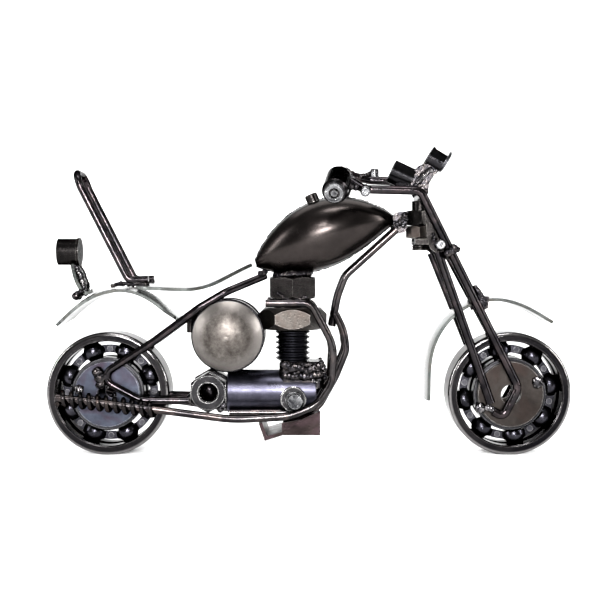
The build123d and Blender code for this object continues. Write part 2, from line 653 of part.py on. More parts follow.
with BuildPart() as lower_crown:
    with BuildSketch(Plane.XY.offset(59.9)):
        with Locations((34.2, 0)):
            Rectangle(8.4, 11.5)
    extrude(amount=1.5)
    add(steering_bolt.part, mode=Mode.SUBTRACT)
    add(crown_pin.part, mode=Mode.SUBTRACT)
    add(crown_gussets.part, mode=Mode.SUBTRACT)

with BuildPart() as upper_crown:
    with BuildSketch(Plane(origin=(HEAD_X, -7.4, 73.5), x_dir=(1, 0, 0), z_dir=(0, 1, 0))):
        Circle(1.25)
    extrude(amount=14.8)
    add(fork_front_right.part, mode=Mode.SUBTRACT)
    add(fork_front_left.part, mode=Mode.SUBTRACT)
    add(steering_bolt.part, mode=Mode.SUBTRACT)


def draw_grip(a, b):
    """Barrel from the inner end a to the outer end b, with a nut ring closing the end."""
    d = (Vector(*b) - Vector(*a))
    n = d.length
    pl = Plane(origin=a, x_dir=d.normalized().cross(Vector(0, 0, 1)).normalized(), z_dir=d.normalized())
    turned(pl, [(0, 0), (3.1, 0), (3.5, 0.4), (3.5, n - 1.2), (3.2, n - 0.8), (3.2, n - 0.4), (2.9, n), (0, n)])


def draw_grip_nut(a, b):
    d = (Vector(*b) - Vector(*a))
    pl = Plane(origin=b, x_dir=d.normalized().cross(Vector(0, 0, 1)).normalized(), z_dir=d.normalized())
    turned(pl, [(1.4, 0), (2.6, 0), (2.65, 0.3), (2.4, 0.9), (1.6, 0.9), (1.4, 0.7)])
    turned(pl, [(0, 0), (1.0, 0), (1.0, 0.7), (0.8, 0.9), (0, 0.9)])


GRIP_R_IN, GRIP_R_OUT = (8.2, -12.2, 78.1), (6.6, -23.4, 73.3)
GRIP_L_IN, GRIP_L_OUT = (10.6, 12.2, 79.9), (9.0, 23.4, 75.1)
with BuildPart() as grips:
    draw_grip(GRIP_R_IN, GRIP_R_OUT)
    draw_grip(GRIP_L_IN, GRIP_L_OUT)
    add(fork_front_right.part, mode=Mode.SUBTRACT)
    add(fork_front_left.part, mode=Mode.SUBTRACT)
with BuildPart() as grip_end_nuts:
    draw_grip_nut(GRIP_R_IN, GRIP_R_OUT)
    draw_grip_nut(GRIP_L_IN, GRIP_L_OUT)

with BuildPart() as lever_stubs:
    bent_rod([(15.6, -8.6, 74.6), (15.6, -11.6, 74.3)], 2.9, 0)
    bent_rod([(19.4, 8.0, 79.4), (19.4, 8.4, 82.3)], 2.6, 0)
    fillet(lever_stubs.edges().filter_by(GeomType.CIRCLE), 0.6)
    add(fork_front_right.part, mode=Mode.SUBTRACT)
    add(fork_front_left.part, mode=Mode.SUBTRACT)


def tilted(x, z, down):
    """Plane square to an axis that points forward and down."""
    return Plane(origin=(x, 0, z), x_dir=(0, 1, 0), z_dir=(cos(radians(down)), 0, -sin(radians(down))))


with BuildPart() as gauge:
    turned(tilted(23.6, 81.0, 25), [(0, 0.35), (3.0, 0.35), (3.0, 0), (3.4, 0), (3.4, 6.4), (0, 6.4)])
with BuildPart() as headlight_body:
    turned(tilted(34.1, 85.1, 31), [(0, 0.3), (2.9, 0.3), (2.9, 0), (3.35, 0), (3.35, 0.7), (3.1, 0.95), (3.1, 4.7),
                                    (0, 4.7)])
with BuildPart() as headlight_lens:
    turned(tilted(38.13 + 0.62, 82.68 + 1.03, 31), [(0, 0), (3.4, 0), (3.4, 0.6), (3.1, 0.9), (0, 0.9)])

with BuildPart() as lamp_bracket:
    with BuildSketch(RIGHT):
        with BuildLine():
            Polyline((29.8, 74.2), (33.9, 74.2), (34.4, 77.4), (36.8, 81.2), (34.2, 83.6), (31.2, 82.2), (28.6, 79.2),
                     close=True)
        make_face()
    extrude(amount=2.2, both=True)
    add(gauge.part, mode=Mode.SUBTRACT)
    add(headlight_body.part, mode=Mode.SUBTRACT)
    add(headlight_lens.part, mode=Mode.SUBTRACT)
    add(upper_crown.part, mode=Mode.SUBTRACT)

with BuildPart() as front_fender:
    crowned_strip([(33.4, 15.7), (33.5, 22.0), (34.1, 28.6), (36.6, 35.2), (40.7, 40.2), (46.2, 43.6), (52.4, 44.8),
                   (58.6, 43.8), (64.3, 41.2), (69.3, 38.1)], 0.9, 0.55, 6.4,
                  [(30, -6.5), (67.5, -6.5), (70.5, -4.6), (70.5, 4.6), (67.5, 6.5), (30, 6.5)])

with BuildPart() as fender_webs:
    for side in (-1, 1):
        with BuildSketch(Plane(origin=(0, side * 6.7, 0), x_dir=(1, 0, 0), z_dir=(0, -1, 0))):
            with BuildLine():
                Polyline((46.4, 45.6), (50.6, 45.2), (50.4, 42.0), (47.8, 40.6), close=True)
            make_face()
        extrude(amount=-side * 0.9)
    add(front_fender.part, mode=Mode.SUBTRACT)
    add(fork_front_right.part, mode=Mode.SUBTRACT)
    add(fork_front_left.part, mode=Mode.SUBTRACT)

for block, label in ((fork_front_right, "fork_front_right"), (fork_front_left, "fork_front_left"),
                     (fork_rear_legs, "fork_rear_legs"),
                     (crown_gussets, "crown_gussets"), (crown_pin, "crown_pin"), (steering_bolt, "steering_bolt"),
                     (lock_nut, "lock_nut"), (lower_crown, "lower_crown"), (upper_crown, "upper_crown"),
                     (grips, "grips"), (grip_end_nuts, "grip_end_nuts"), (lever_stubs, "lever_stubs"), (gauge, "gauge"),
                     (headlight_body, "headlight_body"), (headlight_lens, "headlight_lens"),
                     (lamp_bracket, "lamp_bracket"), (front_fender, "front_fender"), (fender_webs, "fender_webs")):
    save(block, label)
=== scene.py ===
import bpy
import bmesh
import math
import random
from mathutils import Vector, Matrix, noise


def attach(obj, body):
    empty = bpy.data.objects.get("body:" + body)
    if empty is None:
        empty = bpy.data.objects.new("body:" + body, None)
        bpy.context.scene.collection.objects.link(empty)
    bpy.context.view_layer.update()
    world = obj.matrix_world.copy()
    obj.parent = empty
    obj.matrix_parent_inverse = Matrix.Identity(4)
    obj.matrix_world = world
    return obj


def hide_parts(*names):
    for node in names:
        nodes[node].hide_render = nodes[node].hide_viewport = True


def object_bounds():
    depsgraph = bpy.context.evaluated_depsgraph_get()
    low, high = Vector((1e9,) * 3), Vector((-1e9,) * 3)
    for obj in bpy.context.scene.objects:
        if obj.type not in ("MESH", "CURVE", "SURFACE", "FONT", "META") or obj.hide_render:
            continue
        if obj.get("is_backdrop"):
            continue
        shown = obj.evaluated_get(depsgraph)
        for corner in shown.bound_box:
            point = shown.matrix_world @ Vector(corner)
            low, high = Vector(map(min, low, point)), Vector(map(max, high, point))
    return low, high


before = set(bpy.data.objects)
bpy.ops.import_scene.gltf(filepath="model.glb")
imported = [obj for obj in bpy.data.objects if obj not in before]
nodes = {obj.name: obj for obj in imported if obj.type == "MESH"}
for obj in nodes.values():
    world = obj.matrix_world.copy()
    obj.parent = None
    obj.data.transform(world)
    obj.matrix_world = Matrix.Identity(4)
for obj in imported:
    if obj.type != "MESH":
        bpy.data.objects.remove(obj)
CAD_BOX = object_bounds()
MM = 0.001


def plain(b):
    try:
        return [plain(x) for x in b]
    except TypeError:
        return float(b)


# ---------------------------------------------------------------------------
# camera: level with the top of the engine, square on to the right-hand side
# ---------------------------------------------------------------------------
cam_data = bpy.data.cameras.new("camera")
cam = bpy.data.objects.new("camera", cam_data)
bpy.context.scene.collection.objects.link(cam)
cam_data.sensor_width = 36.0
cam_data.lens = 64.9
cam.location = (-0.0025, -0.3111, 0.0552)
cam.rotation_euler = (math.radians(90 - 2.07), 0, 0)
cam_data.clip_start = 0.01
cam_data.clip_end = 20
bpy.context.scene.camera = cam
bpy.context.scene.view_settings.view_transform = "Standard"
bpy.context.scene.view_settings.look = "None"


# ---------------------------------------------------------------------------
# materials
# ---------------------------------------------------------------------------
def metal(name, dark, light, rough=(0.16, 0.34), scale=260.0, stretch=(1, 1, 1), bump=0.12, bump_scale=2400.0,
          edge_wear_and_highlight=(0.45, 0.44, 0.43), edge_wear_and_highlight_amount=0.55, bevel=0.00022, grain=None, grain_strength=0.0,
          metallic=1.0, tint=None, pits=0.0, coat=0.0, below=None, painted_rim_highlight=None, edge=1.0):
    """Plated metal: mottled plating, smudged gloss, fine surface grain, pits, and recoloured edges: bare worn edges,
    and on some finishes a painted edge highlight.
    """
    m = bpy.data.materials.new(name)
    m.use_nodes = True
    nt = m.node_tree
    nt.nodes.clear()
    N = nt.nodes.new
    L = nt.links.new
    out = N("ShaderNodeOutputMaterial")
    b = N("ShaderNodeBsdfPrincipled")
    L(b.outputs["BSDF"], out.inputs["Surface"])
    b.inputs["Metallic"].default_value = metallic
    b.inputs["Specular Tint"].default_value = (edge, edge, edge, 1)
    if coat:
        b.inputs["Coat Weight"].default_value = coat
        b.inputs["Coat Roughness"].default_value = 0.06
    tc = N("ShaderNodeTexCoord")
    mp = N("ShaderNodeMapping")
    mp.inputs["Scale"].default_value = stretch
    L(tc.outputs["Object"], mp.inputs["Vector"])

    def nz(sc, detail=6.0, r=0.6, dist=0.0, vec=None):
        n = N("ShaderNodeTexNoise")
        n.inputs["Scale"].default_value = sc
        n.inputs["Detail"].default_value = detail
        n.inputs["Roughness"].default_value = r
        n.inputs["Distortion"].default_value = dist
        L((vec or mp).outputs["Vector"], n.inputs["Vector"])
        return n

    def ramp(src, a, bb, c0, c1):
        r = N("ShaderNodeValToRGB")
        r.color_ramp.elements[0].position = a
        r.color_ramp.elements[0].color = (*c0, 1)
        r.color_ramp.elements[1].position = bb
        r.color_ramp.elements[1].color = (*c1, 1)
        L(src, r.inputs["Fac"])
        return r

    def mix(fac, a, bb, mode="MIX"):
        x = N("ShaderNodeMix")
        x.data_type = "RGBA"
        x.blend_type = mode
        if isinstance(fac, (int, float)):
            x.inputs[0].default_value = fac
        else:
            L(fac, x.inputs[0])
        for s, v in ((x.inputs[6], a), (x.inputs[7], bb)):
            if isinstance(v, tuple):
                s.default_value = (*v, 1)
            else:
                L(v, s)
        return x.outputs[2]

    big = nz(scale * 0.35, 3.0, 0.55, 0.4)
    fine = nz(scale * 3.2, 8.0, 0.7)
    base = ramp(big.outputs["Fac"], 0.34, 0.70, dark, light).outputs["Color"]
    if tint:
        tn = nz(scale * 0.5, 2.0, 0.5, 1.2)
        tf = ramp(tn.outputs["Fac"], 0.48, 0.72, (0, 0, 0), (1, 1, 1))
        base = mix(tf.outputs["Color"], base, tint)
    speck = ramp(fine.outputs["Fac"], 0.30, 0.66, (0.72, 0.72, 0.72), (1.15, 1.15, 1.15)).outputs["Color"]
    base = mix(0.75, base, speck, "MULTIPLY")
    # edge colour: bare worn edges, and on the bright-edged nut and washers a painted highlight
    if edge_wear_and_highlight_amount > 0:
        bv = N("ShaderNodeBevel")
        bv.samples = 4
        bv.inputs["Radius"].default_value = bevel
        geo = N("ShaderNodeNewGeometry")
        dot = N("ShaderNodeVectorMath")
        dot.operation = "DOT_PRODUCT"
        L(bv.outputs["Normal"], dot.inputs[0])
        L(geo.outputs["Normal"], dot.inputs[1])
        ew = ramp(dot.outputs["Value"], 0.90, 0.995, (1, 1, 1), (0, 0, 0))
        en = ramp(fine.outputs["Fac"], 0.36, 0.60, (0.25, 0.25, 0.25), (1, 1, 1))
        em = N("ShaderNodeMath")
        em.operation = "MULTIPLY"
        L(ew.outputs["Color"], em.inputs[0])
        L(en.outputs["Color"], em.inputs[1])
        e2 = N("ShaderNodeMath")
        e2.operation = "MULTIPLY"
        L(em.outputs[0], e2.inputs[0])
        e2.inputs[1].default_value = edge_wear_and_highlight_amount
        base = mix(e2.outputs[0], base, edge_wear_and_highlight)
    if below:
        # darker colour under a given height
        z1, z2, low = below
        sp = N("ShaderNodeSeparateXYZ")
        L(tc.outputs["Object"], sp.inputs["Vector"])
        zr = N("ShaderNodeMapRange")
        zr.inputs["From Min"].default_value = z1
        zr.inputs["From Max"].default_value = z2
        zr.inputs["To Min"].default_value = 1.0
        zr.inputs["To Max"].default_value = 0.0
        L(sp.outputs["Z"], zr.inputs["Value"])
        lowc = mix(0.7, low, speck, "MULTIPLY")
        base = mix(zr.outputs["Result"], base, lowc)
    if painted_rim_highlight:
        # painted reflection: the rounded outer corner is painted bright beyond a given radius about the wheel's centre,
        # standing in for the floor reflected in it
        cx, cz, r1, r2, rim_highlight_colour = painted_rim_highlight
        off = N("ShaderNodeVectorMath")
        off.operation = "SUBTRACT"
        off.inputs[1].default_value = (cx, 0, cz)
        L(tc.outputs["Object"], off.inputs[0])
        pl = N("ShaderNodeVectorMath")
        pl.operation = "MULTIPLY"
        pl.inputs[1].default_value = (1, 0, 1)
        L(off.outputs["Vector"], pl.inputs[0])
        le = N("ShaderNodeVectorMath")
        le.operation = "LENGTH"
        L(pl.outputs["Vector"], le.inputs[0])
        rm = N("ShaderNodeMapRange")
        rm.inputs["From Min"].default_value = r1
        rm.inputs["From Max"].default_value = r2
        L(le.outputs["Value"], rm.inputs["Value"])
        rim_highlight_tone = mix(0.8, rim_highlight_colour, speck, "MULTIPLY")
        base = mix(rm.outputs["Result"], base, rim_highlight_tone)
    L(base, b.inputs["Base Color"])
    # gloss
    rn = nz(scale * 0.9, 5.0, 0.65, 0.3)
    rr = N("ShaderNodeMapRange")
    rr.inputs["From Min"].default_value = 0.30
    rr.inputs["From Max"].default_value = 0.72
    rr.inputs["To Min"].default_value = rough[0]
    rr.inputs["To Max"].default_value = rough[1]
    L(rn.outputs["Fac"], rr.inputs["Value"])
    L(rr.outputs["Result"], b.inputs["Roughness"])
    # surface relief
    h = nz(bump_scale, 4.0, 0.6)
    bp = N("ShaderNodeBump")
    bp.inputs["Strength"].default_value = bump
    bp.inputs["Distance"].default_value = 0.00012
    L(h.outputs["Fac"], bp.inputs["Height"])
    last = bp
    if grain:
        gm = N("ShaderNodeMapping")
        gm.inputs["Scale"].default_value = grain
        L(tc.outputs["Object"], gm.inputs["Vector"])
        gn = nz(1.0, 3.0, 0.6, 0.0, gm)
        g2 = N("ShaderNodeBump")
        g2.inputs["Strength"].default_value = grain_strength
        g2.inputs["Distance"].default_value = 0.00010
        L(gn.outputs["Fac"], g2.inputs["Height"])
        L(last.outputs["Normal"], g2.inputs["Normal"])
        last = g2
    if pits > 0:
        vo = N("ShaderNodeTexVoronoi")
        vo.inputs["Scale"].default_value = 900.0
        L(tc.outputs["Object"], vo.inputs["Vector"])
        pr = ramp(vo.outputs["Distance"], 0.05, 0.35, (0, 0, 0), (1, 1, 1))
        p2 = N("ShaderNodeBump")
        p2.inputs["Strength"].default_value = pits
        p2.inputs["Distance"].default_value = 0.00018
        L(pr.outputs["Color"], p2.inputs["Height"])
        L(last.outputs["Normal"], p2.inputs["Normal"])
        last = p2
    L(last.outputs["Normal"], b.inputs["Normal"])
    return m


def brushed_dome(name, cx, cz):
    """Frosted disc: circular brushing about its own centre, cloudy middle, and a painted highlight on its rim."""
    m = metal(name, (0.048, 0.043, 0.040), (0.092, 0.085, 0.080), rough=(0.33, 0.47), scale=420, bump=0.25,
              bump_scale=3000, edge_wear_and_highlight=(0.55, 0.53, 0.51), edge_wear_and_highlight_amount=0.8, bevel=0.0005)
    nt = m.node_tree
    b = [n for n in nt.nodes if n.type == "BSDF_PRINCIPLED"][0]
    N, L = nt.nodes.new, nt.links.new
    tc = N("ShaderNodeTexCoord")
    mp = N("ShaderNodeMapping")
    mp.inputs["Location"].default_value = (-cx, 0, -cz)
    L(tc.outputs["Object"], mp.inputs["Vector"])
    flat = N("ShaderNodeVectorMath")
    flat.operation = "MULTIPLY"
    flat.inputs[1].default_value = (1, 0, 1)
    L(mp.outputs["Vector"], flat.inputs[0])
    ln = N("ShaderNodeVectorMath")
    ln.operation = "LENGTH"
    L(flat.outputs["Vector"], ln.inputs[0])
    # painted highlight: the outer band of the dome is painted brighter
    painted_rim_highlight = N("ShaderNodeMapRange")
    painted_rim_highlight.inputs["From Min"].default_value = 0.0062
    painted_rim_highlight.inputs["From Max"].default_value = 0.0097
    painted_rim_highlight.inputs["To Min"].default_value = 0.0
    painted_rim_highlight.inputs["To Max"].default_value = 1.0
    L(ln.outputs["Value"], painted_rim_highlight.inputs["Value"])
    src = b.inputs["Base Color"].links[0].from_socket
    cl = N("ShaderNodeTexNoise")
    cl.inputs["Scale"].default_value = 520
    cl.inputs["Detail"].default_value = 7
    cl.inputs["Roughness"].default_value = 0.7
    L(mp.outputs["Vector"], cl.inputs["Vector"])
    cr = N("ShaderNodeValToRGB")
    cr.color_ramp.elements[0].position = 0.36
    cr.color_ramp.elements[0].color = (0.55, 0.53, 0.51, 1)
    cr.color_ramp.elements[1].position = 0.66
    cr.color_ramp.elements[1].color = (1.25, 1.23, 1.2, 1)
    L(cl.outputs["Fac"], cr.inputs["Fac"])
    mu = N("ShaderNodeMix")
    mu.data_type = "RGBA"
    mu.blend_type = "MULTIPLY"
    mu.inputs[0].default_value = 1.0
    L(src, mu.inputs[6])
    L(cr.outputs["Color"], mu.inputs[7])
    mx = N("ShaderNodeMix")
    mx.data_type = "RGBA"
    L(painted_rim_highlight.outputs["Result"], mx.inputs[0])
    L(mu.outputs[2], mx.inputs[6])
    # colour of the painted rim highlight
    mx.inputs[7].default_value = (0.15, 0.138, 0.130, 1)
    L(mx.outputs[2], b.inputs["Base Color"])
    wv = N("ShaderNodeTexNoise")
    wv.inputs["Scale"].default_value = 9000
    wv.inputs["Detail"].default_value = 2
    cmb = N("ShaderNodeCombineXYZ")
    L(ln.outputs["Value"], cmb.inputs["X"])
    L(cmb.outputs["Vector"], wv.inputs["Vector"])
    old = b.inputs["Normal"].links[0].from_socket
    bp = N("ShaderNodeBump")
    bp.inputs["Strength"].default_value = 0.35
    bp.inputs["Distance"].default_value = 0.00006
    L(wv.outputs["Fac"], bp.inputs["Height"])
    L(old, bp.inputs["Normal"])
    L(bp.outputs["Normal"], b.inputs["Normal"])
    return m


M = {}
M["rod"] = metal("black_nickel_rod", (0.006, 0.0055, 0.0065), (0.022, 0.020, 0.021), edge=0.35, rough=(0.09, 0.17), scale=330,
                 bump=0.20, edge_wear_and_highlight_amount=0.30, edge_wear_and_highlight=(0.12, 0.11, 0.11), tint=(0.034, 0.027, 0.028), pits=0.12)
M["pipe"] = metal("black_nickel_pipe", (0.009, 0.008, 0.009), (0.034, 0.031, 0.031), edge=0.45, rough=(0.08, 0.16), scale=330,
                  bump=0.20, edge_wear_and_highlight_amount=0.35, edge_wear_and_highlight=(0.18, 0.17, 0.16), tint=(0.050, 0.040, 0.038), pits=0.12)
M["spring"] = metal("black_spring_wire", (0.006, 0.0055, 0.006), (0.020, 0.018, 0.018), edge=0.3, rough=(0.12, 0.24), scale=500,
                    bump=0.2, edge_wear_and_highlight_amount=0.2, edge_wear_and_highlight=(0.12, 0.11, 0.10), tint=(0.026, 0.020, 0.018))
M["tank"] = metal("tank_plating", (0.013, 0.011, 0.0105), (0.021, 0.018, 0.017), edge=0.6, rough=(0.20, 0.29), scale=120,
                  bump=0.10, bump_scale=900, edge_wear_and_highlight_amount=0.0, tint=(0.024, 0.020, 0.019), pits=0.04)
M["grip"] = metal("grip_barrel", (0.006, 0.006, 0.007), (0.017, 0.016, 0.017), edge=0.2, rough=(0.10, 0.22), scale=300,
                  bump=0.25, edge_wear_and_highlight_amount=0.3, edge_wear_and_highlight=(0.12, 0.12, 0.12), tint=(0.022, 0.019, 0.019), pits=0.2)
M["dome"] = brushed_dome("brushed_dome", -0.0229, 0.0341)
M["drum"] = metal("drum_plating", (0.005, 0.005, 0.0055), (0.015, 0.014, 0.015), edge=0.35, rough=(0.18, 0.3), scale=300, bump=0.12,
                  edge_wear_and_highlight=(0.10, 0.10, 0.10), edge_wear_and_highlight_amount=0.4)
M["crank"] = metal("crankcase_rod", (0.017, 0.0165, 0.024), (0.042, 0.041, 0.054), edge=0.5, rough=(0.26, 0.38), scale=260,
                   bump=0.15, grain=(2600, 260, 260), grain_strength=0.35, edge_wear_and_highlight_amount=0.5, edge_wear_and_highlight=(0.18, 0.18, 0.2))
M["bolt"] = metal("bolt_plating", (0.018, 0.016, 0.0145), (0.042, 0.037, 0.034), rough=(0.28, 0.44), scale=300, bump=0.22,
                  edge_wear_and_highlight=(0.26, 0.24, 0.22), edge_wear_and_highlight_amount=0.6, bevel=0.0003, tint=(0.029, 0.022, 0.019), pits=0.15)
M["cylinder"] = metal("engine_bolt", (0.022, 0.019, 0.017), (0.048, 0.043, 0.039), rough=(0.30, 0.44), scale=300, bump=0.22,
                      edge_wear_and_highlight=(0.22, 0.20, 0.19), edge_wear_and_highlight_amount=0.5, bevel=0.0003, tint=(0.032, 0.025, 0.022), pits=0.15,
                      below=(0.0352, 0.0360, (0.006, 0.006, 0.0075)))
# painted highlight: the bright edge colour paints the light catching the nut and washer rims
M["edged"] = metal("nut_painted_edge_highlight", (0.007, 0.007, 0.0075), (0.026, 0.025, 0.026), edge=0.4, rough=(0.16, 0.30), scale=330, bump=0.25,
                   edge_wear_and_highlight=(0.62, 0.61, 0.60), edge_wear_and_highlight_amount=0.95, bevel=0.00035, pits=0.2)
M["nut"] = metal("nut_plating", (0.005, 0.0046, 0.0046), (0.016, 0.0145, 0.014), edge=0.35, rough=(0.18, 0.34), scale=330, bump=0.2,
                 edge_wear_and_highlight=(0.15, 0.14, 0.13), edge_wear_and_highlight_amount=0.6, bevel=0.00026, pits=0.12)
M["bright"] = metal("spattered_bright_steel", (0.016, 0.016, 0.018), (0.17, 0.17, 0.175), rough=(0.14, 0.36), scale=1100,
                    bump=0.9, bump_scale=1300, edge_wear_and_highlight=(0.6, 0.6, 0.6), edge_wear_and_highlight_amount=0.6, pits=0.8)
# the last tuple in each ring's call paints a bright band on the rounded outer corner: a painted reflection
for key, cx in (("ring_f", 0.05705), ("ring_r", -0.05705)):
    M[key] = metal("bearing_ring_" + key[-1], (0.004, 0.0038, 0.0045), (0.013, 0.012, 0.0125), edge=0.35, rough=(0.11, 0.23),
                   scale=220, bump=0.12, edge_wear_and_highlight=(0.18, 0.17, 0.17), edge_wear_and_highlight_amount=0.6, bevel=0.00035, pits=0.08,
                   painted_rim_highlight=(cx, 0.0175, 0.01648, 0.01690, (0.14, 0.135, 0.135)))
M["race"] = metal("bearing_race", (0.010, 0.010, 0.011), (0.034, 0.033, 0.036), edge=0.4, rough=(0.12, 0.24), scale=240, bump=0.10,
                  edge_wear_and_highlight=(0.24, 0.24, 0.25), edge_wear_and_highlight_amount=0.6, bevel=0.0003)
M["ball"] = metal("bearing_ball", (0.014, 0.014, 0.017), (0.022, 0.022, 0.027), rough=(0.07, 0.14), scale=260, bump=0.03,
                  edge_wear_and_highlight_amount=0.0)
M["cage"] = metal("pressed_cage", (0.008, 0.008, 0.010), (0.030, 0.029, 0.035), rough=(0.16, 0.30), scale=420, bump=0.16,
                  edge_wear_and_highlight=(0.13, 0.13, 0.14), edge_wear_and_highlight_amount=0.5, bevel=0.0002)
M["rivet"] = metal("cage_rivet", (0.020, 0.020, 0.024), (0.070, 0.068, 0.075), rough=(0.16, 0.32), scale=600, bump=0.2)
M["disc_f"] = metal("front_hub_washer", (0.013, 0.011, 0.010), (0.029, 0.025, 0.023), rough=(0.30, 0.46), scale=260,
                    bump=0.2, edge_wear_and_highlight=(0.36, 0.35, 0.34), edge_wear_and_highlight_amount=0.8, tint=(0.019, 0.014, 0.0125))
M["disc_r"] = metal("rear_hub_washer", (0.015, 0.017, 0.024), (0.040, 0.044, 0.058), rough=(0.26, 0.42), scale=260,
                    bump=0.2, edge_wear_and_highlight=(0.36, 0.37, 0.40), edge_wear_and_highlight_amount=0.8, tint=(0.024, 0.019, 0.026))
M["sheet"] = metal("polished_sheet", (0.040, 0.044, 0.042), (0.115, 0.120, 0.116), rough=(0.12, 0.27), scale=240, bump=0.16,
                   grain=(300, 2200, 300), grain_strength=0.25, edge_wear_and_highlight=(0.014, 0.013, 0.013), edge_wear_and_highlight_amount=1.0,
                   bevel=0.0003, tint=(0.058, 0.056, 0.050), pits=0.06)
M["foot"] = metal("heat_browned_sheet", (0.006, 0.0045, 0.0045), (0.019, 0.014, 0.0135), rough=(0.34, 0.52), scale=300,
                  bump=0.3, edge_wear_and_highlight=(0.08, 0.07, 0.065), edge_wear_and_highlight_amount=0.5, tint=(0.026, 0.017, 0.019), pits=0.2)
M["weld"] = metal("weld_bead", (0.008, 0.008, 0.009), (0.060, 0.057, 0.062), rough=(0.08, 0.24), scale=1100, bump=0.7,
                  bump_scale=1500, edge_wear_and_highlight_amount=0.0, tint=(0.22, 0.21, 0.21), pits=0.6)
M["scale"] = metal("dark_weld", (0.005, 0.005, 0.006), (0.024, 0.022, 0.024), edge=0.4, rough=(0.12, 0.30), scale=1000, bump=0.6,
                   bump_scale=1400, edge_wear_and_highlight_amount=0.0, tint=(0.050, 0.044, 0.042), pits=0.5)

ASSIGN = {
    "tank_right": "tank", "tank_left": "tank", "filler_cap": "nut", "frame_rail_right": "rod",
    "frame_rail_left": "rod", "cradle_rods": "pipe", "down_tubes": "pipe", "crankcase": "crank", "head_nut": "nut",
    "head_lug": "scale", "cylinder_bolt": "cylinder", "cylinder_base": "scale", "rocker_nut": "nut", "rocker_stud": "nut",
    "cover_drum": "drum", "dome_covers": "dome", "side_nuts": "edged", "case_washers": "edged",
    "case_screws": "bright", "exhaust_pipes": "pipe", "silencer_springs": "spring", "foot_plate": "foot",
    "rear_fender": "sheet", "seat": "sheet", "fender_screw": "nut", "sissy_bar": "rod", "tail_bracket": "sheet",
    "tail_light": "nut", "fork_front_right": "rod", "fork_front_left": "rod", "fork_rear_legs": "rod",
    "crown_gussets": "nut", "crown_pin": "bright", "steering_bolt": "nut", "lock_nut": "bolt",
    "lower_crown": "nut", "upper_crown": "rod", "grips": "grip", "grip_end_nuts": "bright",
    "lever_stubs": "bright", "gauge": "drum", "headlight_body": "grip", "headlight_lens": "rivet",
    "lamp_bracket": "scale", "front_fender": "sheet", "fender_webs": "scale",
    "front_outer_ring": "ring_f", "rear_outer_ring": "ring_r", "front_inner_ring": "race", "rear_inner_ring": "race",
    "front_balls": "ball", "rear_balls": "ball", "front_cage_right": "cage", "front_cage_left": "cage",
    "rear_cage_right": "cage", "rear_cage_left": "cage", "front_cage_rivets": "rivet", "rear_cage_rivets": "rivet",
    "front_hub_discs": "disc_f", "rear_hub_discs": "disc_r",
}
for name, ob in nodes.items():
    mat = M[ASSIGN[name]]
    if ob.data.materials:
        for i in range(len(ob.data.materials)):
            ob.data.materials[i] = mat
    else:
        ob.data.materials.append(mat)


# ---------------------------------------------------------------------------
# pieces made here
# ---------------------------------------------------------------------------
def new_piece(name, bm, mat, body, smooth=True):
    me = bpy.data.meshes.new(name)
    bm.normal_update()
    bm.to_mesh(me)
    bm.free()
    for p in me.polygons:
        p.use_smooth = smooth
    ob = bpy.data.objects.new(name, me)
    bpy.context.scene.collection.objects.link(ob)
    ob.data.materials.append(mat)
    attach(ob, body)
    return ob


def lump(bm, centre, radii, seed, rough=0.22, squash_dir=None):
    """One irregular weld drop."""
    rnd = random.Random(seed)
    res = bmesh.ops.create_icosphere(bm, subdivisions=3, radius=1.0)
    off = Vector((rnd.uniform(-50, 50), rnd.uniform(-50, 50), rnd.uniform(-50, 50)))
    rot = Matrix.Rotation(rnd.uniform(0, 6.28), 3, Vector((rnd.uniform(-1, 1), rnd.uniform(-1, 1), rnd.uniform(-1, 1))).normalized())
    for v in res["verts"]:
        d = v.co.normalized()
        k = 1.0 + rough * noise.noise(d * 1.7 + off) + 0.45 * rough * noise.noise(d * 4.5 + off)
        c = Vector((d.x * radii[0], d.y * radii[1], d.z * radii[2])) * k
        c = rot @ c if squash_dir is None else c
        v.co = Vector(centre) + c


def weld_run(name, points, r, body, step=0.75, seed=1, flat=None, mat="scale"):
    """A run of overlapping weld drops along a line, in millimetres."""
    bm = bmesh.new()
    rnd = random.Random(seed)
    pts = [Vector(p) for p in points]
    k = 0
    for a, b in zip(pts, pts[1:]) if len(pts) > 1 else [(pts[0], pts[0])]:
        n = max(1, int((b - a).length / (r * step)))
        for i in range(n + (1 if b == pts[-1] else 0)):
            p = a.lerp(b, i / n) if n else a
            j = Vector((rnd.uniform(-1, 1), rnd.uniform(-1, 1), rnd.uniform(-1, 1))) * r * 0.16
            rr = r * rnd.uniform(0.82, 1.12)
            rad = (rr, rr, rr) if flat is None else (rr * flat[0], rr * flat[1], rr * flat[2])
            lump(bm, (p + j) * MM, tuple(x * MM for x in rad), seed * 97 + k, squash_dir=flat)
            k += 1
    return new_piece(name, bm, M[mat], body)


# --- tank halves, smooth, with a raised weld seam along the joint -----------
T_REAR, T_FRONT = Vector((-15.7, 0, 54.05)), Vector((25.6, 0, 66.8))
T_LEN = (T_FRONT - T_REAR).length
T_DIR = (T_FRONT - T_REAR).normalized()
T_UP = Vector((-T_DIR.z, 0, T_DIR.x))


def tank_ring(t, a, inset=0.0):
    rise = 38.75 * t ** 0.85 * (1 - t) ** 0.80
    drop = 29.40 * t ** 0.90 * (1 - t) ** 1.20
    half = 8.8 / 0.3187 * t ** 0.85 * (1 - t) ** 0.80
    mid = (rise - drop) / 2
    hh = (rise + drop) / 2 - inset
    c = T_REAR + T_DIR * (t * T_LEN) + T_UP * mid
    return c + T_UP * (math.cos(a) * hh) + Vector((0, 1, 0)) * (math.sin(a) * (half - inset))


